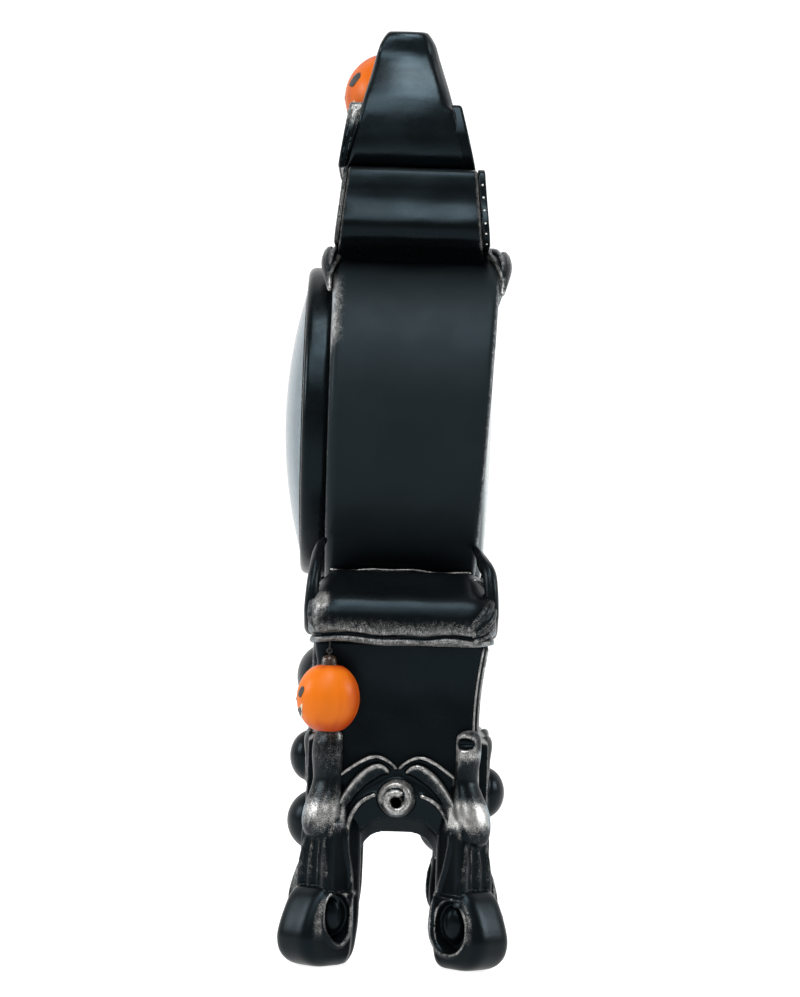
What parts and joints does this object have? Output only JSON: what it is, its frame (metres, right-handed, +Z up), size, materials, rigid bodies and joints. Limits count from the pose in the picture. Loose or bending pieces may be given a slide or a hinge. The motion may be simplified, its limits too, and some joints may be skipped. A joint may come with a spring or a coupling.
{
  "type": "table clock",
  "caption": "Footed table clock with a round drum case, domed lens, arched scroll legs, a stepped crest and hanging lanterns.",
  "frame": {"origin": "on the table, under the middle of the bounding box", "axes": "+Z up, -Y towards the dial side, +X to the right of the dial"},
  "size_m": [0.1588, 0.0762, 0.297],
  "materials": {
    "black_resin": "satin black paint on cast resin, rubbed with silver on raised edges",
    "orange_paint": "semi-gloss orange paint on cast resin",
    "steel": "plain steel",
    "brass": "plain brass",
    "black_metal": "satin black",
    "glass": "polished",
    "clear_plastic": "clear moulded plastic",
    "dial_paper": "matt printed card",
    "case_plastic": "moulded black plastic",
    "wheel_plastic": "moulded ivory plastic",
    "rubber": "soft black rubber",
    "copper": "enamelled copper wire",
    "board": "green circuit board",
    "battery_wrap": "plain grey sleeve"
  },
  "bodies": {
    "case": {"lower_body": "black_resin", "leg_front_right": "black_resin", "leg_front_left": "black_resin", "leg_back_right": "black_resin", "leg_back_left": "black_resin", "side_apron_right": "black_resin", "side_apron_left": "black_resin", "front_apron": "black_resin", "back_apron": "black_resin", "front_pendant": "black_resin", "back_pendant": "black_resin", "front_cartouche": "black_resin", "bolster": "black_resin", "scroll_front_right": "black_resin", "scroll_front_left": "black_resin", "scroll_back_right": "black_resin", "scroll_back_left": "black_resin", "drum": "black_resin", "leaf_front_right": "black_resin", "leaf_front_left": "black_resin", "leaf_back_right": "black_resin", "leaf_back_left": "black_resin", "band": "black_resin", "band_front_plate": "black_resin", "band_back_plate": "black_resin", "crest": "black_resin", "crest_front_plate": "black_resin", "crest_back_plate": "black_resin", "crest_lantern": "orange_paint", "bezel": "black_metal", "lens": "glass", "dial": "dial_paper", "insert_cup": "case_plastic", "friction_ring": "rubber", "movement_tray": "case_plastic", "movement_cover": "case_plastic", "mounting_nut": "brass", "stator": "steel", "coil": "copper", "circuit_board": "board", "battery": "battery_wrap", "contact_positive": "brass", "contact_negative": "steel"},
    "lantern_right": {"lantern_right": "orange_paint", "lantern_hanger_right": "steel"},
    "lantern_left": {"lantern_left": "orange_paint", "lantern_hanger_left": "steel"},
    "rear_cover": {"rear_cover": "clear_plastic"},
    "minute": {"minute_arbor": "wheel_plastic", "minute_hand": "black_metal"},
    "hour": {"hour_wheel": "wheel_plastic", "hour_hand": "black_metal"},
    "motion": {"motion_wheel": "wheel_plastic", "setting_knob": "case_plastic"},
    "second": {"second_wheel": "wheel_plastic", "second_hand": "black_metal"},
    "third": {"third_wheel": "wheel_plastic"},
    "step": {"step_wheel": "wheel_plastic"},
    "rotor": {"rotor": "steel"}
  },
  "joints": [
    {"name": "minute_turn", "type": "hinge", "parent": "case", "child": "minute", "pos_m": [0, -0.01693, 0.1707], "axis": [0, 1, 0], "continuous": true},
    {"name": "hour_turn", "type": "hinge", "parent": "case", "child": "hour", "pos_m": [0, -0.01693, 0.1707], "axis": [0, 1, 0], "continuous": true},
    {"name": "motion_turn", "type": "hinge", "parent": "case", "child": "motion", "pos_m": [-0.01002, -0.01693, 0.1707], "axis": [0, 1, 0], "continuous": true},
    {"name": "second_turn", "type": "hinge", "parent": "case", "child": "second", "pos_m": [0, -0.01693, 0.1707], "axis": [0, 1, 0], "continuous": true},
    {"name": "third_turn", "type": "hinge", "parent": "case", "child": "third", "pos_m": [0.00913, -0.01693, 0.17402], "axis": [0, 1, 0], "continuous": true},
    {"name": "step_turn", "type": "hinge", "parent": "case", "child": "step", "pos_m": [-0.00338, -0.01693, 0.17997], "axis": [0, 1, 0], "continuous": true},
    {"name": "rotor_turn", "type": "hinge", "parent": "case", "child": "rotor", "pos_m": [-0.00961, -0.01693, 0.18357], "axis": [0, 1, 0], "continuous": true},
    {"name": "lantern_right_swing", "type": "hinge", "parent": "case", "child": "lantern_right", "pos_m": [0.0696, -0.02023, 0.0986], "axis": [1, 0, 0], "range_deg": [-20, 20]},
    {"name": "lantern_left_swing", "type": "hinge", "parent": "case", "child": "lantern_left", "pos_m": [-0.0696, -0.02023, 0.0986], "axis": [1, 0, 0], "range_deg": [-20, 20]},
    {"name": "rear_cover_pull", "type": "slide", "parent": "case", "child": "rear_cover", "axis": [0, 1, 0], "range_m": [0, 0.03]}
  ],
  "couplings": [
    {"joint": "hour_turn", "follows": "minute_turn", "ratio": 0.083333},
    {"joint": "motion_turn", "follows": "minute_turn", "ratio": -0.33333},
    {"joint": "third_turn", "follows": "minute_turn", "ratio": -8},
    {"joint": "second_turn", "follows": "minute_turn", "ratio": 60},
    {"joint": "step_turn", "follows": "minute_turn", "ratio": -360},
    {"joint": "rotor_turn", "follows": "minute_turn", "ratio": 1800}
  ]
}
